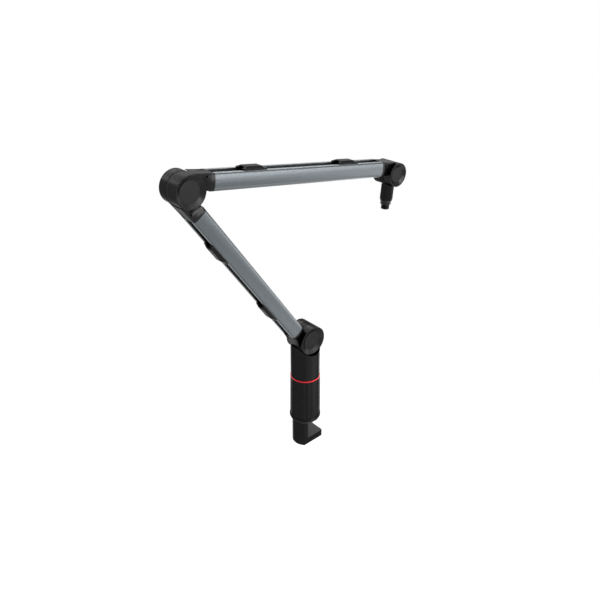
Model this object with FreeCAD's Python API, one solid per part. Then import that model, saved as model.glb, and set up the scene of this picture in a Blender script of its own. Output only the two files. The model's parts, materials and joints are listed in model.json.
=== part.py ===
import FreeCAD, Part
import math
import os

# Microphone boom arm. Lengths in millimetres, angles in degrees, +Z up.
# The origin is on the clamp's axis, on the face that rests on the desk.

# Layout of the arm
shoulder_height = 182.9
lower_arm_length = 414.8
upper_arm_length = 451.7
lower_arm_rise = 55.35
upper_arm_fall = 8.8
stem_lean = 5.35
half_turn = 180.0
full_turn = 360.0

# Clearances
overrun = 5.0
running_gap = 0.05
seat_gap = 0.05
face_gap = 0.1
slide_gap = 0.35
thread_gap = 0.4
sweep_gap = 0.8
pick_tolerance = 0.01

# Clamp core: floor with a rim, column and journal
pad_depth = 2.0
pad_radius = 28.6
floor_depth = 6.0
rim_radius = 30.5
rim_chamfer = 1.2
column_radius = 8.0
journal_radius = 7.5
journal_length = 30.0
plate_depth = 6.0

# Clamp sleeve, tapered, with shallow flutes
sleeve_flutes = 20
sleeve_phase = 5.5
flute_depth = 0.35
sleeve_low_radius = 29.8
sleeve_high_radius = 29.0
sleeve_washer_depth = 0.8
sleeve_washer_radius = 28.0

# Red ring and post
ring_low_drop = 85.5
ring_depth = 2.4
ring_radius = 28.9
post_radius = 28.2
post_rim_drop = 11.5
tongue_root_half = 21.0
tongue_root_bite = 3.0

# Jaw
jaw_radius = 25.4
jaw_flat = 8.5
jaw_half_width = 18.5
foot_reach = 31.8
foot_corner = 2.4
foot_drop = 46.2
foot_depth = 12.4
carriage_rise = 24.0
carriage_depth = 28.0
jaw_pad_depth = 1.8
jaw_pad_inset = 1.2

# Bolt that holds the post on the column
swivel_bolt_radius = 4.0
swivel_head_radius = 6.4
swivel_head_depth = 7.0
swivel_head_rise = 1.0
swivel_washer_depth = 1.5
swivel_bolt_grip = 20.0
swivel_socket_radius = 3.4
swivel_socket_depth = 4.0
post_bush_radius = 10.5
post_bush_length = 28.0

# Hinge drums
drum_half = 22.1
bezel_rim_depth = 2.8
bezel_depth = 5.6
bezel_chamfer = 0.5
bezel_lip = 1.5
dish_depth = 3.8
spigot_wall = 2.5
shoulder_radius = 27.9
shoulder_disc_radius = 18.2
elbow_radius = 25.6
elbow_disc_radius = 17.2
head_radius = 22.1
head_disc_radius = 14.1

# Hinge hardware, the same at each drum
axle_radius = 5.0
axle_head_radius = 9.0
axle_head_depth = 5.2
axle_socket_radius = 4.6
axle_socket_depth = 3.0
pocket_radius = 10.4
front_pocket_depth = 11.6
rear_pocket_depth = 12.6
thrust_washer_depth = 0.9
nut_radius = 9.2
nut_depth = 4.5
spring_radius = 9.4
spring_hole_radius = 5.4
spring_thickness = 0.8
spring_cone = 0.4
bush_radius = 7.5
tongue_half = 5.0
washer_depth = 0.7
washer_hole_radius = 7.8
washer_margin = 5.0
friction_disc_inset = 0.4
rear_knuckle_start = 5.0
hex_sides = 6

# Arm tube: convex sides, open channel on the outer side, closed chamber below it
tube_drop = 3.65
tube_depth = 27.6
tube_half = 18.3
tube_side_radius = 50.0
tube_low_round = 7.5
tube_high_round = 3.0
tube_start = 42.4
channel_half = 8.5
channel_depth = 10.2
groove_bite = 1.1
groove_inset = 3.7
groove_width = 2.5
chamber_wall = 2.2
chamber_side_wall = 3.8
chamber_round_share = 0.39

# Arm end fittings
plug_length = 26.0
neck_side_inset = 5.8
neck_low_inset = 1.6
cap_plate_depth = 3.2
cap_plate_inset = 2.3
cap_plate_rear = 3.8
cap_plate_blunt = 10.0
lug_round_margin = 0.6
lug_edge_round = 4.5
lug_plan_radius = 24.0
notch_length = 17.0
notch_step = 1.5
rib_count = 5
rib_width = 1.3
rib_height = 1.6
rib_pitch = 3.1
rib_first = 4.0
rib_stop = 4.0

# Screws through the tube's inner wall into the fitting plugs
screw_places = (8.0, 19.0)
screw_head_radius = 3.0
screw_head_depth = 1.5
screw_radius = 1.5
screw_length = 9.0

# Cable clips
clip_length = 46.0
clip_half = 12.0
clip_depth = 2.0
clip_round = 3.0
clip_leg = 1.5
clip_leg_start = 8.0
clip_leg_end = 38.0
clip_leg_tip = 0.6
hump_start = 2.0
hump_end = 38.5
hump_half = 11.4
hump_crest_half = 6.9
hump_rise = 3.0
hump_mouth_slope = 6.0
hump_end_slope = 1.5
hump_wall = 1.3
tunnel_half = 5.6
lower_clip_base_start = 102.0
lower_clip_elbow_inset = 98.3
upper_clip_elbow_start = 98.0
upper_clip_head_inset = 102.9

# Head stem and turning stud
stem_radius = 12.0
stem_length = 51.0
stem_chamfer = 0.8
stud_washer_depth = 0.9
stud_washer_radius = 10.6
collar_top_radius = 11.2
collar_low_radius = 9.4
collar_depth = 5.6
lip_radius = 10.1
lip_depth = 2.2
relief_radius = 7.0
relief_depth = 1.2
thread_radius = 7.94
thread_length = 8.5
thread_chamfer = 0.9
stud_journal_radius = 6.0
stud_journal_length = 21.0
stud_groove_radius = 4.8
stud_groove_rise = 13.0
stud_bore_relief = 1.5
grub_radius = 1.3
grub_inset = 0.5

# Levels on the clamp's axis, worked out from the sizes above
floor_top = pad_depth + floor_depth
sleeve_low = floor_top + sleeve_washer_depth + face_gap
ring_low = shoulder_height - ring_low_drop
ring_top = ring_low + ring_depth
plate_top = ring_low - face_gap
plate_low = plate_top - plate_depth
sleeve_top = ring_low - thread_gap
sleeve_bore = jaw_radius + thread_gap
foot_low = -foot_drop - foot_depth

# Faces inside the hinges
barrel_half = drum_half - bezel_rim_depth
slot_half = tongue_half + face_gap + washer_depth
friction_disc_end = rear_knuckle_start - face_gap
elbow_pocket_depth = rear_pocket_depth + thrust_washer_depth + face_gap

# Faces of the arm tube, counted from the hinge axes
tube_low = -tube_drop
tube_high = tube_low + tube_depth
tube_middle = tube_low + tube_depth / 2
channel_floor = tube_high - channel_depth
groove_half = channel_half + groove_bite
groove_high = tube_high - groove_inset
groove_low = groove_high - groove_width
chamber_half = tube_half - chamber_side_wall
chamber_low = tube_low + chamber_wall
chamber_high = channel_floor - chamber_wall
chamber_round = chamber_round_share * (chamber_high - chamber_low)
neck_half = tube_half - neck_side_inset
neck_low = tube_low + neck_low_inset

origin = FreeCAD.Vector(0, 0, 0)
along_x = FreeCAD.Vector(1, 0, 0)
along_y = FreeCAD.Vector(0, 1, 0)
along_z = FreeCAD.Vector(0, 0, 1)


# Shapes used by many pieces

def cylinder_y(radius, low, high):
    return Part.makeCylinder(radius, high - low, FreeCAD.Vector(0, low, 0), along_y)


def cylinder_z(radius, low, high):
    return Part.makeCylinder(radius, high - low, FreeCAD.Vector(0, 0, low), along_z)


def ring_y(radius, hole, low, high):
    return cylinder_y(radius, low, high).cut(cylinder_y(hole, low - overrun, high + overrun))


def ring_z(radius, hole, low, high):
    return cylinder_z(radius, low, high).cut(cylinder_z(hole, low - overrun, high + overrun))


def block(x_span, y_span, z_span):
    corner = FreeCAD.Vector(x_span[0], y_span[0], z_span[0])
    return Part.makeBox(x_span[1] - x_span[0], y_span[1] - y_span[0], z_span[1] - z_span[0], corner)


def prism_y(points, low, high):
    corners = [FreeCAD.Vector(x, low, z) for x, z in points]
    face = Part.Face(Part.makePolygon(corners + corners[:1]))
    return face.extrude(FreeCAD.Vector(0, high - low, 0))


def prism_x(points, low, high):
    corners = [FreeCAD.Vector(low, y, z) for y, z in points]
    face = Part.Face(Part.makePolygon(corners + corners[:1]))
    return face.extrude(FreeCAD.Vector(high - low, 0, 0))


def turned_y(profile):
    corners = [FreeCAD.Vector(radius, y, 0) for radius, y in profile]
    face = Part.Face(Part.makePolygon(corners + corners[:1]))
    return face.revolve(origin, along_y, full_turn)


def turned_z(profile):
    corners = [FreeCAD.Vector(radius, 0, z) for radius, z in profile]
    face = Part.Face(Part.makePolygon(corners + corners[:1]))
    return face.revolve(origin, along_z, full_turn)


def regular_wire(radius, sides, height):
    corners = []
    for side in range(sides):
        angle = 2 * math.pi * side / sides
        corners.append(FreeCAD.Vector(radius * math.cos(angle), radius * math.sin(angle), height))
    return Part.makePolygon(corners + corners[:1])


def hex_prism_y(radius, low, high):
    hexagon = Part.Face(regular_wire(radius, hex_sides, 0)).extrude(FreeCAD.Vector(0, 0, high - low))
    hexagon.rotate(origin, along_x, -half_turn / 2)
    return hexagon.translate(FreeCAD.Vector(0, low, 0))


def long_edges(solid, height_test):
    picked = []
    for edge in solid.Edges:
        ends = [vertex.Point for vertex in edge.Vertexes]
        level = abs(ends[0].z - ends[-1].z) < pick_tolerance
        straight = abs(ends[0].y - ends[-1].y) < pick_tolerance
        if level and straight and height_test(ends[0].z):
            picked.append(edge)
    return picked


def upright_edges(solid):
    picked = []
    for edge in solid.Edges:
        if abs(edge.Vertexes[0].Z - edge.Vertexes[-1].Z) > pick_tolerance:
            picked.append(edge)
    return picked


def mirrored(shape, length):
    return shape.mirror(origin, along_x).translate(FreeCAD.Vector(length, 0, 0))


def save(name, shape):
    if not shape.isValid() or not shape.Solids:
        raise ValueError(name + " is not a sound solid")
    shape.exportStep(os.path.join("parts", name + ".step"))


# Clamp

def jaw_opening(gap, low, high):
    tube = cylinder_z(jaw_radius + gap, low, high)
    reach = jaw_radius + overrun
    half = jaw_half_width + gap
    return tube.common(block((-reach, -jaw_flat + gap), (-half, half), (low, high)))


def base_core():
    rim = turned_z([
        (0, pad_depth),
        (rim_radius - rim_chamfer, pad_depth),
        (rim_radius, pad_depth + rim_chamfer),
        (rim_radius, floor_top - rim_chamfer),
        (rim_radius - rim_chamfer, floor_top),
        (0, floor_top),
    ])
    rim = rim.cut(jaw_opening(slide_gap, pad_depth - overrun, floor_top + overrun))
    column = cylinder_z(column_radius, pad_depth, plate_low)
    journal = cylinder_z(journal_radius, plate_low, ring_top + journal_length)
    core = rim.fuse([column, journal])
    head_top = pad_depth + swivel_head_rise + swivel_head_depth + swivel_washer_depth + face_gap
    head_bore = cylinder_z(swivel_head_radius + thread_gap, pad_depth - overrun, head_top)
    shank_bore = cylinder_z(swivel_bolt_radius + slide_gap, pad_depth, ring_top + journal_length + overrun)
    return core.cut([head_bore, shank_bore])


def desk_pad():
    pad = cylinder_z(pad_radius, 0, pad_depth)
    return pad.cut(jaw_opening(slide_gap, -overrun, pad_depth + overrun))


def fluted_wire(radius, height):
    step = 2 * math.pi / sleeve_flutes
    valley = radius * math.cos(step / 2) - flute_depth
    flutes = []
    for number in range(sleeve_flutes):
        points = []
        for reach, angle in ((radius, number), (valley, number + 1 / 2), (radius, number + 1)):
            turn = angle * step
            points.append(FreeCAD.Vector(reach * math.cos(turn), reach * math.sin(turn), height))
        flutes.append(Part.Arc(points[0], points[1], points[2]).toShape())
    return Part.Wire(flutes)


def clamp_sleeve():
    low_wire = fluted_wire(sleeve_low_radius, sleeve_low)
    high_wire = fluted_wire(sleeve_high_radius, sleeve_top)
    outside = Part.makeLoft([low_wire, high_wire], True, True)
    outside.rotate(origin, along_z, sleeve_phase)
    return outside.cut(cylinder_z(sleeve_bore, sleeve_low - overrun, sleeve_top + overrun))


def sleeve_washer():
    return ring_z(sleeve_washer_radius, sleeve_bore, floor_top, floor_top + sleeve_washer_depth)


def swivel_plate():
    return ring_z(jaw_radius, journal_radius + seat_gap, plate_low, plate_top)


def clamp_jaw():
    carriage_top = carriage_rise + carriage_depth
    carriage = ring_z(jaw_radius, column_radius + running_gap, carriage_rise, carriage_top)
    back = jaw_opening(0, foot_low, carriage_rise)
    outline = [
        (-jaw_flat, -jaw_half_width),
        (foot_reach - foot_corner, -jaw_half_width),
        (foot_reach, foot_corner - jaw_half_width),
        (foot_reach, jaw_half_width - foot_corner),
        (foot_reach - foot_corner, jaw_half_width),
        (-jaw_flat, jaw_half_width),
    ]
    corners = [FreeCAD.Vector(x, y, foot_low) for x, y in outline]
    foot = Part.Face(Part.makePolygon(corners + corners[:1])).extrude(FreeCAD.Vector(0, 0, foot_depth))
    return carriage.fuse([back, foot]).removeSplitter()


def jaw_pad():
    half = jaw_half_width - jaw_pad_inset
    x_span = (jaw_pad_inset - jaw_flat, foot_reach - jaw_pad_inset)
    pad = block(x_span, (-half, half), (-foot_drop, jaw_pad_depth - foot_drop))
    tip_edges = [edge for edge in upright_edges(pad) if edge.Vertexes[0].X > 0]
    return pad.makeChamfer(foot_corner, tip_edges)


# Post and its swivel

def swivel_ring():
    return ring_z(ring_radius, journal_radius + slide_gap, ring_low, ring_top)


def post():
    post_top = shoulder_height - post_rim_drop
    body = cylinder_z(post_radius, ring_top, post_top)
    saddle = cylinder_y(shoulder_radius + sweep_gap, -post_radius - overrun, post_radius + overrun)
    body = body.cut(saddle.translate(FreeCAD.Vector(0, 0, shoulder_height)))
    eye = cylinder_y(shoulder_radius, -tongue_half, tongue_half)
    eye.translate(FreeCAD.Vector(0, 0, shoulder_height))
    root_low = shoulder_height - shoulder_radius - sweep_gap - overrun
    root_top = shoulder_height - math.sqrt(shoulder_radius ** 2 - tongue_root_half ** 2) + tongue_root_bite
    root = block((-tongue_root_half, tongue_root_half), (-tongue_half, tongue_half), (root_low, root_top))
    body = body.fuse([eye, root]).removeSplitter()
    bush_bore = cylinder_z(post_bush_radius, ring_top - overrun, ring_top + post_bush_length)
    journal_room = cylinder_z(journal_radius + slide_gap, ring_top, ring_top + journal_length + face_gap)
    bolt_top = ring_top + journal_length + swivel_bolt_grip
    bolt_bore = cylinder_z(swivel_bolt_radius + seat_gap, ring_top, bolt_top + face_gap)
    eye_bore = cylinder_y(bush_radius, -tongue_half - overrun, tongue_half + overrun)
    eye_bore.translate(FreeCAD.Vector(0, 0, shoulder_height))
    return body.cut([bush_bore, journal_room, bolt_bore, eye_bore])


def post_bush():
    return ring_z(post_bush_radius, journal_radius + running_gap, ring_top, ring_top + post_bush_length)


def swivel_bolt():
    head_low = pad_depth + swivel_head_rise
    head_top = head_low + swivel_head_depth
    head = cylinder_z(swivel_head_radius, head_low, head_top)
    shank = cylinder_z(swivel_bolt_radius, head_top, ring_top + journal_length + swivel_bolt_grip)
    socket = Part.Face(regular_wire(swivel_socket_radius, hex_sides, head_low))
    return head.fuse(shank).cut(socket.extrude(FreeCAD.Vector(0, 0, swivel_socket_depth)))


def swivel_bolt_washer():
    low = pad_depth + swivel_head_rise + swivel_head_depth
    return ring_z(swivel_head_radius, swivel_bolt_radius + seat_gap, low, low + swivel_washer_depth)


# Hinge pieces, built about an axis along Y through the origin.
# The side is -1 for the front of a drum and 1 for its rear.

def bezel(radius, disc_radius, side):
    profile = [
        (radius - bezel_chamfer, 0),
        (radius, bezel_chamfer),
        (radius, bezel_rim_depth),
        (disc_radius + spigot_wall, bezel_rim_depth),
        (disc_radius + spigot_wall, bezel_depth),
        (disc_radius, bezel_depth),
        (disc_radius, dish_depth),
        (radius - bezel_lip, 0),
    ]
    return turned_y([(reach, side * (drum_half - depth)) for reach, depth in profile])


def cover_disc(disc_radius, side):
    ends = sorted((side * (drum_half - dish_depth), side * (drum_half - bezel_depth)))
    return cylinder_y(disc_radius - seat_gap, ends[0], ends[1])


def pocket(disc_radius, side, depth):
    spigot_ends = sorted((side * (drum_half + overrun), side * (drum_half - bezel_depth)))
    pocket_ends = sorted((side * (drum_half + overrun), side * (drum_half - depth)))
    spigot = cylinder_y(disc_radius + spigot_wall + seat_gap, spigot_ends[0], spigot_ends[1])
    return spigot.fuse(cylinder_y(pocket_radius, pocket_ends[0], pocket_ends[1]))


def axle_hole():
    return cylinder_y(axle_radius + seat_gap, -drum_half - overrun, drum_half + overrun)


def spring_floor():
    return drum_half - rear_pocket_depth


def spring_height():
    return 2 * (spring_thickness + spring_cone)


def nut_face():
    return spring_floor() + spring_height()


def axle():
    seat = front_pocket_depth - drum_half
    head = cylinder_y(axle_head_radius, seat - axle_head_depth, seat)
    shank = cylinder_y(axle_radius, seat, nut_face() + nut_depth)
    socket_floor = seat - axle_head_depth + axle_socket_depth
    socket = hex_prism_y(axle_socket_radius, seat - axle_head_depth - overrun, socket_floor)
    return head.fuse(shank).cut(socket)


def nut():
    body = hex_prism_y(nut_radius, nut_face(), nut_face() + nut_depth)
    return body.cut(axle_hole())


def springs():
    floor = spring_floor()
    lower = [
        (spring_hole_radius, floor + spring_cone),
        (spring_radius, floor),
        (spring_radius, floor + spring_thickness),
        (spring_hole_radius, floor + spring_cone + spring_thickness),
    ]
    top = floor + spring_height()
    upper = [(reach, top - (y - floor)) for reach, y in lower]
    return Part.makeCompound([turned_y(lower), turned_y(upper)])


def friction_washers(radius):
    rear = ring_y(radius - washer_margin, washer_hole_radius, tongue_half + face_gap, slot_half)
    front = ring_y(radius - washer_margin, washer_hole_radius, -slot_half, -tongue_half - face_gap)
    return Part.makeCompound([front, rear])


def tongue_bush():
    return ring_y(bush_radius, axle_radius + running_gap, -tongue_half, tongue_half)


def bezel_pair(radius, disc_radius):
    return Part.makeCompound([bezel(radius, disc_radius, -1), bezel(radius, disc_radius, 1)])


def disc_pair(disc_radius):
    return Part.makeCompound([cover_disc(disc_radius, -1), cover_disc(disc_radius, 1)])


def friction_disc():
    return ring_y(elbow_radius - friction_disc_inset, axle_radius + seat_gap, 0, friction_disc_end)


def elbow_bush():
    end = drum_half - elbow_pocket_depth
    return ring_y(bush_radius, axle_radius + running_gap, rear_knuckle_start, end)


def elbow_thrust_washer():
    low = drum_half - elbow_pocket_depth
    return ring_y(spring_radius, spring_hole_radius, low, spring_floor() - face_gap)


# Arm pieces, built with the hinge axis at the origin, the arm along +X and its outer side at +Z

def arm_bar(start, end):
    offset = tube_side_radius - tube_half
    body = block((start, end), (-tube_half, tube_half), (tube_low, tube_high))
    for side in (-1, 1):
        centre = FreeCAD.Vector(start, -side * offset, tube_middle)
        body = body.common(Part.makeCylinder(tube_side_radius, end - start, centre, along_x))
    body = body.makeFillet(tube_low_round, long_edges(body, lambda z: z < tube_low + pick_tolerance))
    return body.makeFillet(tube_high_round, long_edges(body, lambda z: z > tube_high - pick_tolerance))


def chamber(start, end, gap):
    half = chamber_half - gap
    body = block((start, end), (-half, half), (chamber_low + gap, chamber_high - gap))
    return body.makeFillet(chamber_round, long_edges(body, lambda z: True))


def screw_at(place, gap):
    head = Part.makeCone(screw_head_radius + gap, screw_radius + gap, screw_head_depth,
                         FreeCAD.Vector(place, 0, tube_low), along_z)
    shank = cylinder_z(screw_radius + gap, tube_low, tube_low + screw_length + gap)
    return head.fuse(shank.translate(FreeCAD.Vector(place, 0, 0)))


def screw_set(length, gap):
    screws = []
    for place in screw_places:
        screws.append(screw_at(tube_start + place, gap))
        screws.append(screw_at(length - tube_start - place, gap))
    return screws


def arm_tube(length):
    start = tube_start
    end = length - tube_start
    ends = (start - overrun, end + overrun)
    tube = arm_bar(start, end)
    channel = block(ends, (-channel_half, channel_half), (channel_floor, tube_high + overrun))
    groove = block(ends, (-groove_half, groove_half), (groove_low, groove_high))
    return tube.cut([channel, groove, chamber(ends[0], ends[1], 0)] + screw_set(length, seat_gap))


def tangent_point(radius):
    reach = math.hypot(tube_start, tube_high)
    angle = math.atan2(tube_high, tube_start) + math.acos(radius / reach)
    return radius * math.cos(angle), radius * math.sin(angle)


def lug_barrel():
    """A barrel about Z whose profile follows the tube's convex side."""
    sag = tube_side_radius - math.sqrt(tube_side_radius ** 2 - (tube_depth / 2) ** 2)
    low_end = FreeCAD.Vector(lug_plan_radius - sag, 0, tube_low)
    middle = FreeCAD.Vector(lug_plan_radius, 0, tube_middle)
    high_end = FreeCAD.Vector(lug_plan_radius - sag, 0, tube_high)
    side = Part.Arc(low_end, middle, high_end).toShape()
    axis = [FreeCAD.Vector(0, 0, tube_high), FreeCAD.Vector(0, 0, tube_low)]
    rest = Part.makePolygon([high_end, axis[0], axis[1], low_end])
    return Part.Face(Part.Wire([side] + rest.Edges)).revolve(origin, along_z, full_turn)


def lug():
    body = arm_bar(0, tube_start)
    rounding = cylinder_y(tube_depth / 2 + lug_round_margin, -tube_half, tube_half)
    rounding = rounding.makeFillet(lug_edge_round, [edge for edge in rounding.Edges if edge.Closed])
    body = body.common(rounding.translate(FreeCAD.Vector(tube_start, 0, tube_middle)))
    for side in (-1, 1):
        centre = FreeCAD.Vector(tube_start, side * (lug_plan_radius - tube_half), 0)
        body = body.common(lug_barrel().translate(centre))
    return body


def ribs(radius):
    strips = []
    for number in range(rib_count):
        low = rib_first + number * rib_pitch
        for side in (-1, 1):
            ends = sorted((side * (neck_half - overrun), side * (neck_half + rib_height)))
            strips.append(block((radius, tube_start - rib_stop), ends, (low, low + rib_width)))
    return strips


def arm_end(radius):
    x_top, z_top = tangent_point(radius)
    neck = prism_y([(0, neck_low), (tube_start, neck_low), (tube_start, tube_high), (x_top, z_top), (0, 0)],
                   -neck_half, neck_half)
    plate = prism_y([(x_top, z_top), (x_top, z_top - cap_plate_depth),
                     (tube_start, tube_high - cap_plate_depth), (tube_start, tube_high)],
                    cap_plate_inset - tube_half, cap_plate_rear)
    plug = chamber(tube_start - overrun, tube_start + plug_length, seat_gap)
    body = neck.fuse([plate, lug(), plug] + ribs(radius))
    notch = block((tube_start - notch_length, tube_start + overrun),
                  (cap_plate_rear, channel_half - face_gap),
                  (channel_floor + notch_step, tube_high + overrun))
    screw_holes = [screw_at(tube_start + place, seat_gap) for place in screw_places]
    return body.cut([notch] + screw_holes)


def fork_fitting(radius, disc_radius):
    body = arm_end(radius).cut(cylinder_y(radius + sweep_gap, -slot_half, slot_half))
    front = cylinder_y(radius, -barrel_half, -slot_half)
    rear = cylinder_y(radius, slot_half, barrel_half)
    body = body.fuse([front, rear])
    front_pocket = pocket(disc_radius, -1, front_pocket_depth)
    rear_pocket = pocket(disc_radius, 1, rear_pocket_depth)
    return body.cut([front_pocket, rear_pocket, axle_hole()]).removeSplitter()


def drum_room(low, high):
    room = cylinder_y(elbow_radius + sweep_gap, low, high)
    return room.fuse(block((-overrun, cap_plate_blunt), (low, high), (0, elbow_radius + overrun)))


def front_knuckle_fitting():
    body = arm_end(elbow_radius).cut(drum_room(0, drum_half + overrun))
    body = body.fuse(cylinder_y(elbow_radius, -barrel_half, 0))
    return body.cut([pocket(elbow_disc_radius, -1, front_pocket_depth), axle_hole()]).removeSplitter()


def rear_knuckle_fitting():
    body = arm_end(elbow_radius).cut(drum_room(-drum_half - overrun, rear_knuckle_start))
    body = body.fuse(cylinder_y(elbow_radius, rear_knuckle_start, barrel_half))
    bush_bore = cylinder_y(bush_radius, -drum_half - overrun, drum_half + overrun)
    return body.cut([pocket(elbow_disc_radius, 1, elbow_pocket_depth), bush_bore]).removeSplitter()


# Cable clip, with its open mouth at the low end of X

def clip_legs():
    legs = []
    outer = channel_half - slide_gap
    barb = groove_half - slide_gap
    leg_span = (clip_leg_start, clip_leg_end)
    top = tube_high + face_gap + clip_depth
    for side in (-1, 1):
        leg_ends = sorted((side * (outer - clip_leg), side * outer))
        barb_ends = sorted((side * (outer - clip_leg), side * barb))
        legs.append(block(leg_span, leg_ends, (groove_low - clip_leg_tip, top)))
        legs.append(block(leg_span, barb_ends, (groove_low + slide_gap, groove_high - slide_gap)))
    return legs


def cable_clip():
    low = tube_high + face_gap
    top = low + clip_depth
    plate = block((0, clip_length), (-clip_half, clip_half), (low, top))
    plate = plate.makeFillet(clip_round, upright_edges(plate))
    crest = top + hump_rise
    outline = [
        (hump_start, low),
        (hump_start, top),
        (hump_start + hump_mouth_slope, crest),
        (hump_end - hump_end_slope, crest),
        (hump_end, top),
        (hump_end, low),
    ]
    section = [
        (-hump_half, low),
        (-hump_half, top),
        (-hump_crest_half, crest),
        (hump_crest_half, crest),
        (hump_half, top),
        (hump_half, low),
    ]
    hump = prism_y(outline, -hump_half, hump_half).common(prism_x(section, 0, clip_length))
    body = plate.fuse([hump] + clip_legs())
    tunnel_span = (-overrun, hump_end - hump_end_slope - hump_wall)
    tunnel = block(tunnel_span, (-tunnel_half, tunnel_half), (low - overrun, crest - hump_wall))
    return body.cut(tunnel).removeSplitter()


# Stem at the head, built with the head's hinge axis at the origin and the stem along -Z

def stem():
    end = -stem_length
    body = turned_z([
        (0, 0),
        (stem_radius, 0),
        (stem_radius, end + stem_chamfer),
        (stem_radius - stem_chamfer, end),
        (0, end),
    ])
    room = cylinder_y(head_radius + sweep_gap, -stem_radius - overrun, stem_radius + overrun)
    core = body.common(block((-stem_radius, stem_radius), (-tongue_half, tongue_half), (end, 0)))
    eye = cylinder_y(head_radius, -tongue_half, tongue_half)
    body = body.cut(room).fuse([core, eye]).removeSplitter()
    journal_top = end + stud_journal_length + stud_bore_relief
    bore = cylinder_z(stud_journal_radius + running_gap, end - overrun, journal_top)
    eye_bore = cylinder_y(bush_radius, -tongue_half - overrun, tongue_half + overrun)
    return body.cut([bore, eye_bore, grub_hole()])


def at_groove(shape):
    return shape.translate(FreeCAD.Vector(0, 0, stud_shoulder() + stud_groove_rise))


def grub_hole():
    return at_groove(cylinder_y(grub_radius + seat_gap, 0, stem_radius + overrun))


def grub_screw():
    return at_groove(cylinder_y(grub_radius, stud_groove_radius + slide_gap, stem_radius - grub_inset))


def stud_shoulder():
    return -stem_length - stud_washer_depth - face_gap


def stud_washer():
    low = -stem_length - stud_washer_depth
    return ring_z(stud_washer_radius, stud_journal_radius + seat_gap + slide_gap, low, -stem_length)


def mic_stud():
    top = stud_shoulder()
    groove_low_edge = top + stud_groove_rise - grub_radius - slide_gap
    groove_high_edge = top + stud_groove_rise + grub_radius + slide_gap
    lip_top = top - collar_depth
    relief_top = lip_top - lip_depth
    thread_top = relief_top - relief_depth
    end = thread_top - thread_length
    return turned_z([
        (0, top + stud_journal_length),
        (stud_journal_radius, top + stud_journal_length),
        (stud_journal_radius, groove_high_edge),
        (stud_groove_radius, groove_high_edge),
        (stud_groove_radius, groove_low_edge),
        (stud_journal_radius, groove_low_edge),
        (stud_journal_radius, top),
        (collar_top_radius, top),
        (collar_low_radius, lip_top),
        (lip_radius, lip_top),
        (lip_radius, relief_top),
        (relief_radius, relief_top),
        (relief_radius, thread_top),
        (thread_radius, thread_top),
        (thread_radius, end + thread_chamfer),
        (thread_radius - thread_chamfer, end),
        (0, end),
    ])


# Places of the three hinge axes

shoulder = FreeCAD.Vector(0, 0, shoulder_height)
rise = math.radians(lower_arm_rise)
fall = math.radians(upper_arm_fall)
elbow = shoulder + FreeCAD.Vector(-math.cos(rise), 0, math.sin(rise)) * lower_arm_length
head = elbow + FreeCAD.Vector(math.cos(fall), 0, -math.sin(fall)) * upper_arm_length


def turned_to(shape, angle, place):
    shape.rotate(origin, along_y, angle)
    return shape.translate(place)


def on_lower(shape):
    return turned_to(shape, half_turn + lower_arm_rise, shoulder)


def on_upper(shape):
    return turned_to(shape, upper_arm_fall, elbow)


def on_stem(shape):
    return turned_to(shape, stem_lean, head)


def at_length(shape, length):
    return shape.translate(FreeCAD.Vector(length, 0, 0))


# Files, one for each piece

def save_clamp():
    save("base_core", base_core())
    save("desk_pad", desk_pad())
    save("clamp_sleeve", clamp_sleeve())
    save("sleeve_washer", sleeve_washer())
    save("swivel_plate", swivel_plate())
    save("clamp_jaw", clamp_jaw())
    save("jaw_pad", jaw_pad())


def save_post():
    save("swivel_ring", swivel_ring())
    save("post", post())
    save("post_bush", post_bush())
    save("swivel_bolt", swivel_bolt())
    save("swivel_bolt_washer", swivel_bolt_washer())
    save("shoulder_bush", on_lower(tongue_bush()))


def save_lower_arm():
    length = lower_arm_length
    save("lower_tube", on_lower(arm_tube(length)))
    save("lower_screws", on_lower(Part.makeCompound(screw_set(length, 0))))
    save("lower_shoulder_fitting", on_lower(fork_fitting(shoulder_radius, shoulder_disc_radius)))
    save("lower_elbow_fitting", on_lower(mirrored(rear_knuckle_fitting(), length)))
    save("shoulder_axle", on_lower(axle()))
    save("shoulder_nut", on_lower(nut()))
    save("shoulder_springs", on_lower(springs()))
    save("shoulder_washers", on_lower(friction_washers(shoulder_radius)))
    save("shoulder_bezels", on_lower(bezel_pair(shoulder_radius, shoulder_disc_radius)))
    save("shoulder_discs", on_lower(disc_pair(shoulder_disc_radius)))
    save("elbow_bush", on_upper(elbow_bush()))
    save("elbow_thrust_washer", on_upper(elbow_thrust_washer()))
    save("elbow_rear_bezel", on_upper(bezel(elbow_radius, elbow_disc_radius, 1)))
    save("elbow_rear_disc", on_upper(cover_disc(elbow_disc_radius, 1)))


def save_upper_arm():
    length = upper_arm_length
    save("upper_tube", on_upper(arm_tube(length)))
    save("upper_screws", on_upper(Part.makeCompound(screw_set(length, 0))))
    save("upper_elbow_fitting", on_upper(front_knuckle_fitting()))
    save("upper_head_fitting", on_upper(mirrored(fork_fitting(head_radius, head_disc_radius), length)))
    save("elbow_axle", on_upper(axle()))
    save("elbow_nut", on_upper(nut()))
    save("elbow_springs", on_upper(springs()))
    save("elbow_friction_disc", on_upper(friction_disc()))
    save("elbow_front_bezel", on_upper(bezel(elbow_radius, elbow_disc_radius, -1)))
    save("elbow_front_disc", on_upper(cover_disc(elbow_disc_radius, -1)))
    save("head_axle", on_upper(at_length(axle(), length)))
    save("head_nut", on_upper(at_length(nut(), length)))
    save("head_springs", on_upper(at_length(springs(), length)))
    save("head_washers", on_upper(at_length(friction_washers(head_radius), length)))
    save("head_bezels", on_upper(at_length(bezel_pair(head_radius, head_disc_radius), length)))
    save("head_discs", on_upper(at_length(disc_pair(head_disc_radius), length)))


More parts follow.
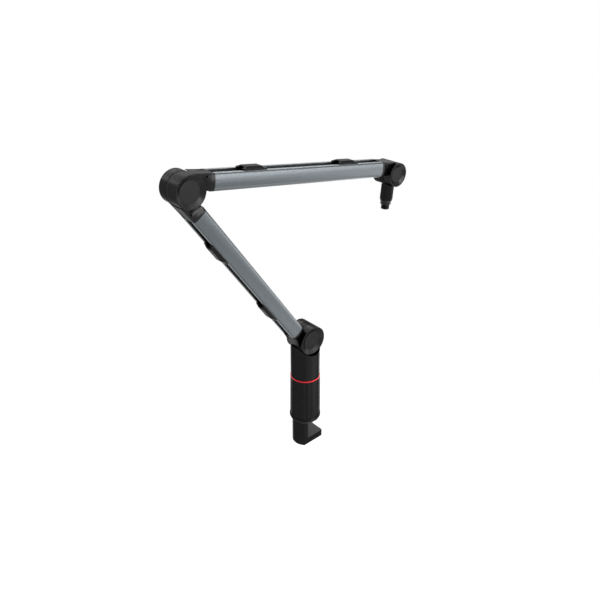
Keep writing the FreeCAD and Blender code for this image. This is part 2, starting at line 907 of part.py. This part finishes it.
def save_stem():
    save("stem", on_stem(stem()))
    save("head_bush", on_stem(tongue_bush()))
    save("grub_screw", on_stem(grub_screw()))
    save("stud_washer", on_stem(stud_washer()))
    save("mic_stud", on_stem(mic_stud()))


def save_clips():
    lower_end = lower_arm_length - lower_clip_elbow_inset
    save("lower_clip_base_end", on_lower(mirrored(cable_clip(), lower_clip_base_start + clip_length)))
    save("lower_clip_elbow_end", on_lower(mirrored(cable_clip(), lower_end)))
    upper_start = upper_arm_length - upper_clip_head_inset - clip_length
    save("upper_clip_elbow_end", on_upper(at_length(cable_clip(), upper_clip_elbow_start)))
    save("upper_clip_head_end", on_upper(at_length(cable_clip(), upper_start)))


os.makedirs("parts", exist_ok=True)
save_clamp()
save_post()
save_lower_arm()
save_upper_arm()
save_stem()
save_clips()
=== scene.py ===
import json
import math

import bmesh
import bpy
from mathutils import Matrix, Vector

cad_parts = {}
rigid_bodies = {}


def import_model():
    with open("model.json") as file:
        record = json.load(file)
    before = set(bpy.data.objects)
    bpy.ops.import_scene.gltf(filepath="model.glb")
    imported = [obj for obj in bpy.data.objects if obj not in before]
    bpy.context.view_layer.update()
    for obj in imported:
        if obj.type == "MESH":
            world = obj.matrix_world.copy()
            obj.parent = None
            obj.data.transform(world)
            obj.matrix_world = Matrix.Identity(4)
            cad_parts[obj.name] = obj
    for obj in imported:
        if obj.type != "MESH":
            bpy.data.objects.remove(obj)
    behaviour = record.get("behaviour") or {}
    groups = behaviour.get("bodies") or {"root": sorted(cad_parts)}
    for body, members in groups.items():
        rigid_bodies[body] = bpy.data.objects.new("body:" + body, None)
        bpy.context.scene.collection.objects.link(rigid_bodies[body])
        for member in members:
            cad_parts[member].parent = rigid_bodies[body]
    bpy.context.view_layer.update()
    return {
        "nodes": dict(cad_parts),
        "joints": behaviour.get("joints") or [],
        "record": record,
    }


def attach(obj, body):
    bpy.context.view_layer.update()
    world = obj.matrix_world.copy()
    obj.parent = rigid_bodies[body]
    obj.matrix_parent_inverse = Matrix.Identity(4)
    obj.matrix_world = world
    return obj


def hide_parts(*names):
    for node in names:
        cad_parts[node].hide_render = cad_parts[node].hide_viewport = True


for old in list(bpy.data.objects):
    bpy.data.objects.remove(old, do_unlink=True)

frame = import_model()

MM = 0.001
WHITE = (1, 1, 1, 1)


def joint(name):
    return next(entry for entry in frame["joints"] if entry["name"] == name)


def joint_place(name):
    return Vector(joint(name)["pos_m"])


def put(name, data):
    """A new object in the scene, for a mesh, a lamp or a camera."""
    thing = bpy.data.objects.new(name, data)
    bpy.context.scene.collection.objects.link(thing)
    return thing


# Node helpers. Textures run from 0 to 1, and most of what they give lies between these two.

TEXTURE_LOW = 0.3
TEXTURE_HIGH = 0.7
BEVEL_SAMPLES = 6


def new_material(name):
    material = bpy.data.materials.new(name)
    material.use_nodes = True
    tree = material.node_tree
    return material, tree, tree.nodes["Principled BSDF"]


def add(tree, kind, **settings):
    node = tree.nodes.new(kind)
    for key, value in settings.items():
        setattr(node, key, value)
    return node


def place(tree, stretch=(1, 1, 1), turn=0.0):
    """The part's coordinates in metres, for a grain that is turned about Y and drawn out along each axis."""
    coords = add(tree, "ShaderNodeTexCoord")
    mapping = add(tree, "ShaderNodeMapping", vector_type="TEXTURE")
    mapping.inputs["Rotation"].default_value = (0, turn, 0)
    mapping.inputs["Scale"].default_value = stretch
    tree.links.new(coords.outputs["Object"], mapping.inputs["Vector"])
    return mapping.outputs["Vector"]


def noise(tree, vector, size, detail=3.0):
    """Noise whose blotches are about size metres across."""
    node = add(tree, "ShaderNodeTexNoise")
    node.inputs["Scale"].default_value = 1 / size
    node.inputs["Detail"].default_value = detail
    node.inputs["Roughness"].default_value = 0.55
    tree.links.new(vector, node.inputs["Vector"])
    return node.outputs["Fac"]


def cells(tree, vector, size):
    """Distance to the nearest of many scattered points about size metres apart."""
    node = add(tree, "ShaderNodeTexVoronoi")
    node.inputs["Scale"].default_value = 1 / size
    tree.links.new(vector, node.inputs["Vector"])
    return node.outputs["Distance"]


def spread(tree, value, low, high, start=TEXTURE_LOW, end=TEXTURE_HIGH):
    """A number that goes from low to high as value goes from start to end."""
    node = add(tree, "ShaderNodeMapRange")
    node.inputs["From Min"].default_value = start
    node.inputs["From Max"].default_value = end
    node.inputs["To Min"].default_value = low
    node.inputs["To Max"].default_value = high
    tree.links.new(value, node.inputs["Value"])
    return node.outputs["Result"]


def tint(tree, value, dark, light, start=TEXTURE_LOW, end=TEXTURE_HIGH):
    """A colour that goes from dark to light as value goes from start to end."""
    ramp = add(tree, "ShaderNodeValToRGB")
    ramp.color_ramp.elements[0].position = start
    ramp.color_ramp.elements[0].color = (*dark, 1)
    ramp.color_ramp.elements[1].position = end
    ramp.color_ramp.elements[1].color = (*light, 1)
    tree.links.new(value, ramp.inputs["Fac"])
    return ramp.outputs["Color"]


def bump(tree, value, depth, under=None):
    """A bump of depth metres, over the bump that is already there."""
    node = add(tree, "ShaderNodeBump")
    node.inputs["Strength"].default_value = 1.0
    node.inputs["Distance"].default_value = depth
    tree.links.new(value, node.inputs["Height"])
    if under is not None:
        tree.links.new(under, node.inputs["Normal"])
    return node.outputs["Normal"]


def eased_edges(tree, radius):
    """Normals that round the sharp edges by radius metres."""
    node = add(tree, "ShaderNodeBevel", samples=BEVEL_SAMPLES)
    node.inputs["Radius"].default_value = radius
    return node.outputs["Normal"]


def product(tree, first, second):
    node = add(tree, "ShaderNodeMath", operation="MULTIPLY")
    tree.links.new(first, node.inputs[0])
    tree.links.new(second, node.inputs[1])
    return node.outputs[0]


def larger(tree, first, second):
    node = add(tree, "ShaderNodeMath", operation="MAXIMUM")
    tree.links.new(first, node.inputs[0])
    tree.links.new(second, node.inputs[1])
    return node.outputs[0]


# What the finishes share

DARK_GLANCE = (0.5, 0.5, 0.5, 1)


def paint(tree, shader, texture, colour, share, start=TEXTURE_LOW, end=TEXTURE_HIGH):
    """A base colour that the texture makes darker or lighter by up to a share of it."""
    dark = tuple(channel * (1 - share) for channel in colour)
    light = tuple(channel * (1 + share) for channel in colour)
    tree.links.new(tint(tree, texture, dark, light, start, end), shader.inputs["Base Color"])


def dull(tree, shader, texture, low, high):
    """A roughness between low and high that follows the texture."""
    tree.links.new(spread(tree, texture, low, high), shader.inputs["Roughness"])


def grain_surface(tree, shader, normal):
    tree.links.new(normal, shader.inputs["Normal"])


# Finishes

def satin_black(name, colour, roughness, grain, depth):
    """Spark-grained satin black, a little cloudy, with slightly varied gloss and dark glancing edges."""
    material, tree, shader = new_material(name)
    where = place(tree)
    paint(tree, shader, noise(tree, where, size=14 * MM, detail=4.0), colour, share=0.07)
    dull(tree, shader, noise(tree, where, size=5 * MM), low=roughness - 0.01, high=roughness + 0.015)
    sparks = bump(tree, cells(tree, where, grain), depth, under=eased_edges(tree, radius=0.35 * MM))
    fine = noise(tree, where, size=grain / 3, detail=2.0)
    grain_surface(tree, shader, bump(tree, fine, depth / 2, under=sparks))
    shader.inputs["Metallic"].default_value = 1.0
    shader.inputs["Specular Tint"].default_value = DARK_GLANCE
    return material


def anodised(name, colour, roughness, turn=0.0, metallic=1.0):
    """Blasted and anodised metal, with faint drawn streaks along the piece."""
    material, tree, shader = new_material(name)
    along = place(tree, stretch=(80, 1, 1), turn=turn)
    where = place(tree)
    streaks = noise(tree, along, size=0.9 * MM)
    paint(tree, shader, streaks, colour, share=0.05, start=0.25, end=0.75)
    dull(tree, shader, noise(tree, where, size=9 * MM), low=roughness - 0.02, high=roughness + 0.025)
    blast = noise(tree, where, size=0.22 * MM, detail=2.0)
    blasted = bump(tree, blast, depth=0.0012 * MM, under=eased_edges(tree, radius=0.4 * MM))
    drawn = noise(tree, along, size=0.5 * MM, detail=2.0)
    grain_surface(tree, shader, bump(tree, drawn, depth=0.001 * MM, under=blasted))
    shader.inputs["Metallic"].default_value = metallic
    return material


def turned_metal(name, colour, roughness, stretch):
    """Lathe-turned metal, with fine tool rings across the axis that stretch leaves as it is."""
    material, tree, shader = new_material(name)
    rings = noise(tree, place(tree, stretch=stretch), size=0.25 * MM, detail=2.0)
    paint(tree, shader, noise(tree, place(tree), size=4 * MM), colour, share=0.12)
    dull(tree, shader, rings, low=roughness - 0.06, high=roughness + 0.08)
    grain_surface(tree, shader, bump(tree, rings, depth=0.006 * MM))
    shader.inputs["Metallic"].default_value = 1.0
    return material


def soft_rubber(name, colour):
    """Dull rubber with pores and a trace of dust."""
    material, tree, shader = new_material(name)
    where = place(tree)
    paint(tree, shader, noise(tree, where, size=3 * MM, detail=5.0), colour, share=0.2)
    dull(tree, shader, noise(tree, where, size=1.5 * MM), low=0.75, high=0.92)
    grain_surface(tree, shader, bump(tree, cells(tree, where, size=0.5 * MM), depth=0.03 * MM))
    shader.inputs["Specular IOR Level"].default_value = 0.25
    return material


def friction_lining(name, colour):
    """Pressed dark fibre lining with flecks and dark glancing edges."""
    material, tree, shader = new_material(name)
    flecks = noise(tree, place(tree, stretch=(1, 0.4, 2.5)), size=0.5 * MM, detail=4.0)
    paint(tree, shader, flecks, colour, share=0.4, start=0.45)
    dull(tree, shader, noise(tree, place(tree), size=2 * MM), low=0.4, high=0.5)
    grain_surface(tree, shader, bump(tree, flecks, depth=0.004 * MM))
    shader.inputs["Metallic"].default_value = 1.0
    shader.inputs["Specular Tint"].default_value = DARK_GLANCE
    return material


def turn_along(start, end):
    """The turn about Y that lays a grain drawn out along X from one joint to another."""
    run = joint_place(end) - joint_place(start)
    return math.atan2(-run.z, run.x)


MOULDED_BLACK = (0.0225, 0.0225, 0.0228)
COATED_BLACK = (0.0135, 0.0135, 0.0137)
TUBE_GREY = (0.097, 0.1075, 0.1145)
RING_RED = (0.72, 0.018, 0.028)
BRIGHT_STEEL = (0.52, 0.52, 0.53)
BLACKENED_STEEL = (0.03, 0.03, 0.032)
BEARING_BRONZE = (0.5, 0.31, 0.13)
FIBRE_GREY = (0.04, 0.04, 0.0406)
RUBBER_GREY = (0.06, 0.06, 0.062)
TURNED_ABOUT_Y = (50, 1, 50)
TURNED_ABOUT_Z = (50, 50, 1)

finishes = {
    "black_plastic": satin_black("black_moulding", MOULDED_BLACK, roughness=0.28,
                                 grain=0.35 * MM, depth=0.002 * MM),
    "cover_plastic": satin_black("cover_moulding", MOULDED_BLACK, roughness=0.5,
                                 grain=0.3 * MM, depth=0.003 * MM),
    "black_metal": satin_black("black_coating", COATED_BLACK, roughness=0.26,
                               grain=0.25 * MM, depth=0.0015 * MM),
    "red_ring": anodised("red_anodised", RING_RED, roughness=0.35, metallic=0.6),
    "steel": turned_metal("turned_steel", BRIGHT_STEEL, roughness=0.3, stretch=TURNED_ABOUT_Y),
    "dark_steel": turned_metal("blackened_steel", BLACKENED_STEEL, roughness=0.36, stretch=TURNED_ABOUT_Z),
    "bronze": turned_metal("bearing_bronze", BEARING_BRONZE, roughness=0.34, stretch=TURNED_ABOUT_Y),
    "friction": friction_lining("fibre_lining", FIBRE_GREY),
    "rubber": soft_rubber("pad_rubber", RUBBER_GREY),
}
tube_finishes = {
    "lower_tube": anodised("lower_tube_anodised", TUBE_GREY, roughness=0.38,
                           turn=turn_along("elbow_hinge", "shoulder_hinge")),
    "upper_tube": anodised("upper_tube_anodised", TUBE_GREY, roughness=0.35,
                           turn=turn_along("elbow_hinge", "head_hinge")),
}


def dress(node, material):
    mesh = frame["nodes"][node].data
    if not mesh.materials:
        mesh.materials.append(material)
    for index in range(len(mesh.materials)):
        mesh.materials[index] = material


for entry in frame["record"]["subparts"]:
    node = entry["node"]
    dress(node, tube_finishes.get(node) or finishes[entry["material_slot"]])


# Stud with its thread, turned about the stem's axis. Radii and heights are in millimetres, and heights
# are measured up from the stud's shoulder, where its collar meets the stem.

SHOULDER_DROP = 52.0 * MM
SHANK, SHANK_TOP, SHANK_EASE = 6.0, 21.0, 0.4
GROOVE, GROOVE_TOP, GROOVE_END = 4.8, 14.65, 11.35
COLLAR, COLLAR_EASE, COLLAR_FOOT = 11.2, 0.3, 9.4
RIM, RIM_TOP, RIM_END, RIM_EASE = 10.1, -5.6, -7.8, 0.2
NECK = 7.0
THREAD_TOP, THREAD_END = -9.0, -17.5
CREST, ROOT, PITCH = 7.94, 7.36, 0.94
FLANK_SLOPE = 2.6
ROOT_WIDTH = 0.15
END_CHAMFER = 0.9
SEGMENTS = 96
THREAD_ROWS = 64
WELD = 0.001 * MM
SHARP_ANGLE = math.radians(40)


def thread_radius(height, turn):
    """Radius of the thread at a height, for a part of a turn from 0 to 1. It fades in below the neck."""
    phase = (height / PITCH + turn) % 1.0
    lift = min(1.0, max(0.0, FLANK_SLOPE * (0.5 - abs(phase - 0.5)) - ROOT_WIDTH))
    run_out = min(1.0, (THREAD_TOP - height) / PITCH)
    chamfer = CREST - END_CHAMFER + (height - THREAD_END)
    return min(ROOT + (CREST - ROOT) * lift * run_out, chamfer)


def stud_rows():
    """Rows down the stud, each as a height and the radii around the axis at it."""
    shank = [(0.0, SHANK_TOP), (SHANK - SHANK_EASE, SHANK_TOP), (SHANK, SHANK_TOP - SHANK_EASE)]
    groove = [(SHANK, GROOVE_TOP), (GROOVE, GROOVE_TOP), (GROOVE, GROOVE_END), (SHANK, GROOVE_END)]
    collar = [(SHANK, 0.0), (COLLAR - COLLAR_EASE, 0.0), (COLLAR, -COLLAR_EASE), (COLLAR_FOOT, RIM_TOP)]
    rim = [(RIM - RIM_EASE, RIM_TOP), (RIM, RIM_TOP - RIM_EASE),
           (RIM, RIM_END + RIM_EASE), (RIM - RIM_EASE, RIM_END)]
    neck = [(NECK, RIM_END), (NECK, THREAD_TOP)]
    rows = [(height, [radius] * SEGMENTS) for radius, height in shank + groove + collar + rim + neck]
    for step in range(THREAD_ROWS + 1):
        height = THREAD_TOP + (THREAD_END - THREAD_TOP) * step / THREAD_ROWS
        rows.append((height, [thread_radius(height, side / SEGMENTS) for side in range(SEGMENTS)]))
    rows.append((THREAD_END, [0.0] * SEGMENTS))
    return rows


def stud_points():
    """The points of the rows, about the axis on which the stud turns."""
    sideways = Vector((0, 1, 0))
    axis = -Vector(joint("stud_swivel")["axis"]).normalized()
    across = sideways.cross(axis)
    shoulder = joint_place("head_hinge") - axis * SHOULDER_DROP
    points = []
    for height, radii in stud_rows():
        for side, radius in enumerate(radii):
            angle = 2 * math.pi * side / SEGMENTS
            spoke = across * math.cos(angle) + sideways * math.sin(angle)
            points.append(shoulder + axis * (height * MM) + spoke * (radius * MM))
    return points


def ring_faces(rows):
    """Faces between each row of points and the next."""
    faces = []
    for row in range(rows - 1):
        upper = row * SEGMENTS
        lower = upper + SEGMENTS
        for side in range(SEGMENTS):
            following = (side + 1) % SEGMENTS
            faces.append((upper + side, lower + side, lower + following, upper + following))
    return faces


def threaded_stud():
    points = stud_points()
    mesh = bpy.data.meshes.new("threaded_stud")
    mesh.from_pydata(points, [], ring_faces(len(points) // SEGMENTS))
    work = bmesh.new()
    work.from_mesh(mesh)
    bmesh.ops.remove_doubles(work, verts=work.verts, dist=WELD)
    bmesh.ops.dissolve_degenerate(work, edges=work.edges, dist=WELD)
    bmesh.ops.recalc_face_normals(work, faces=work.faces)
    work.to_mesh(mesh)
    work.free()
    mesh.shade_smooth()
    mesh.set_sharp_from_angle(angle=SHARP_ANGLE)
    mesh.materials.append(finishes["dark_steel"])
    return put("threaded_stud", mesh)


stud = threaded_stud()
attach(stud, "stud")
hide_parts("mic_stud")


# Floor and world, which are white where they are seen. Distances are in metres from the origin.

FLOOR_DROP = 0.72
FLOOR_REACH = 12.0
FLOOR_MOTTLE = 0.4
FLOOR_DARK = (0.96, 0.96, 0.96)
FLOOR_LIGHT = (0.985, 0.985, 0.985)
FADE_START = 0.6
UNLIT_FROM = 1.8
NEAR_GLOW = 0.17
WHITE_FROM = 1.6
AMBIENT = 0.2


def seen_rays(tree):
    """1 for rays from the camera, from gloss and through glass, and 0 for the rays that light the object."""
    rays = add(tree, "ShaderNodeLightPath").outputs
    seen = larger(tree, rays["Is Camera Ray"], rays["Is Glossy Ray"])
    return larger(tree, seen, rays["Is Transmission Ray"])


def floor_material():
    """Pale floor that is lit near the object, where its shadow falls, and runs out into plain white."""
    material, tree, shader = new_material("pale_floor")
    where = place(tree)
    mottle = tint(tree, noise(tree, where, size=FLOOR_MOTTLE), FLOOR_DARK, FLOOR_LIGHT)
    tree.links.new(mottle, shader.inputs["Base Color"])
    shader.inputs["Roughness"].default_value = 0.9
    shader.inputs["Specular IOR Level"].default_value = 0.1
    away = add(tree, "ShaderNodeVectorMath", operation="LENGTH")
    tree.links.new(where, away.inputs[0])
    distance = away.outputs["Value"]
    seen = seen_rays(tree)
    fade = spread(tree, distance, low=0.0, high=1.0, start=FADE_START, end=UNLIT_FROM)
    unlit = product(tree, fade, seen)
    rise = spread(tree, distance, low=NEAR_GLOW, high=1.0, start=FADE_START, end=WHITE_FROM)
    glow = product(tree, rise, seen)
    lit = add(tree, "ShaderNodeMixShader")
    tree.links.new(unlit, lit.inputs["Fac"])
    tree.links.new(shader.outputs[0], lit.inputs[1])
    white = add(tree, "ShaderNodeEmission")
    tree.links.new(glow, white.inputs["Strength"])
    both = add(tree, "ShaderNodeAddShader")
    tree.links.new(lit.outputs[0], both.inputs[0])
    tree.links.new(white.outputs[0], both.inputs[1])
    tree.links.new(both.outputs[0], tree.nodes["Material Output"].inputs["Surface"])
    return material


def floor_sheet():
    ends = ((-1, -1), (1, -1), (1, 1), (-1, 1))
    corners = [(x * FLOOR_REACH, y * FLOOR_REACH, -FLOOR_DROP) for x, y in ends]
    mesh = bpy.data.meshes.new("floor")
    mesh.from_pydata(corners, [], [(0, 1, 2, 3)])
    mesh.materials.append(floor_material())
    return put("floor", mesh)


def plain_light(tree, strength):
    node = add(tree, "ShaderNodeBackground")
    node.inputs["Color"].default_value = WHITE
    node.inputs["Strength"].default_value = strength
    return node.outputs[0]


def studio_world():
    """White for the rays that are seen, and a dim even light on the object."""
    world = bpy.data.worlds.new("studio")
    world.use_nodes = True
    tree = world.node_tree
    tree.nodes.clear()
    mix = add(tree, "ShaderNodeMixShader")
    tree.links.new(seen_rays(tree), mix.inputs["Fac"])
    tree.links.new(plain_light(tree, AMBIENT), mix.inputs[1])
    tree.links.new(plain_light(tree, 1.0), mix.inputs[2])
    tree.links.new(mix.outputs[0], add(tree, "ShaderNodeOutputWorld").inputs["Surface"])
    return world


floor = floor_sheet()
bpy.context.scene.world = studio_world()


# Lamps. Places and sizes are in metres.

def facing(direction):
    return direction.to_track_quat("-Z", "Y").to_euler()


def soft_sun(name, direction, strength, angle):
    lamp = bpy.data.lights.new(name, "SUN")
    lamp.energy = strength
    lamp.angle = math.radians(angle)
    put(name, lamp).rotation_euler = facing(Vector(direction))


def softbox(name, stand, aim, size, brightness):
    """A rectangular lamp that stands at one point and faces another. Its power grows with its area."""
    lamp = bpy.data.lights.new(name, "AREA")
    lamp.shape = "RECTANGLE"
    lamp.size, lamp.size_y = size
    lamp.energy = brightness * math.pi * size[0] * size[1]
    holder = put(name, lamp)
    holder.location = stand
    holder.rotation_euler = facing(Vector(aim) - Vector(stand))


soft_sun("overhead", direction=(-0.2, 0.15, -0.95), strength=0.6, angle=40)
softbox("high_strip", stand=(0.1, -1.35, 1.02), aim=(-0.1, 0.0, 0.45), size=(1.5, 0.3), brightness=8.2)
softbox("front_box", stand=(0.75, -1.3, 0.55), aim=(0.0, 0.0, 0.45), size=(1.7, 0.26), brightness=7.9)
softbox("low_box", stand=(1.25, -0.85, -0.08), aim=(-0.1, 0.0, 0.3), size=(0.8, 0.5), brightness=1.8)
softbox("side_box", stand=(1.42, -0.35, 0.1), aim=(-0.05, 0.0, 0.3), size=(0.7, 0.6), brightness=2.4)
softbox("post_box", stand=(0.5, -0.66, -0.4), aim=(0.0, 0.0, 0.13), size=(0.8, 0.35), brightness=1.4)
softbox("post_fill", stand=(-0.12, -0.82, -0.4), aim=(0.0, 0.0, 0.13), size=(0.7, 0.35), brightness=0.55)
softbox("rim_box", stand=(1.15, 0.25, -0.46), aim=(0.0, 0.0, 0.2), size=(0.8, 0.45), brightness=3.4)
softbox("rear_strip", stand=(0.25, 1.2, 1.22), aim=(-0.1, 0.0, 0.4), size=(2.6, 0.35), brightness=6.0)


# Camera, at the photograph's place

CAMERA_STAND = (-0.70026, -0.76506, 0.82281)
AZIMUTH = math.radians(-41.913)
ELEVATION = math.radians(28.453)
FOCAL_LENGTH = 38.94
SENSOR_WIDTH = 36.0
VIEW_REACH = 60


def photo_camera():
    level = math.cos(ELEVATION)
    back = Vector((math.sin(AZIMUTH) * level, -math.cos(AZIMUTH) * level, math.sin(ELEVATION)))
    right = Vector((math.cos(AZIMUTH), math.sin(AZIMUTH), 0))
    turn = Matrix((right, back.cross(right), back)).transposed().to_4x4()
    lens = bpy.data.cameras.new("camera")
    lens.lens = FOCAL_LENGTH
    lens.sensor_width = SENSOR_WIDTH
    lens.clip_end = VIEW_REACH
    camera = put("camera", lens)
    camera.matrix_world = Matrix.Translation(CAMERA_STAND) @ turn
    return camera


bpy.context.scene.camera = photo_camera()
bpy.context.scene.view_settings.view_transform = "Standard"
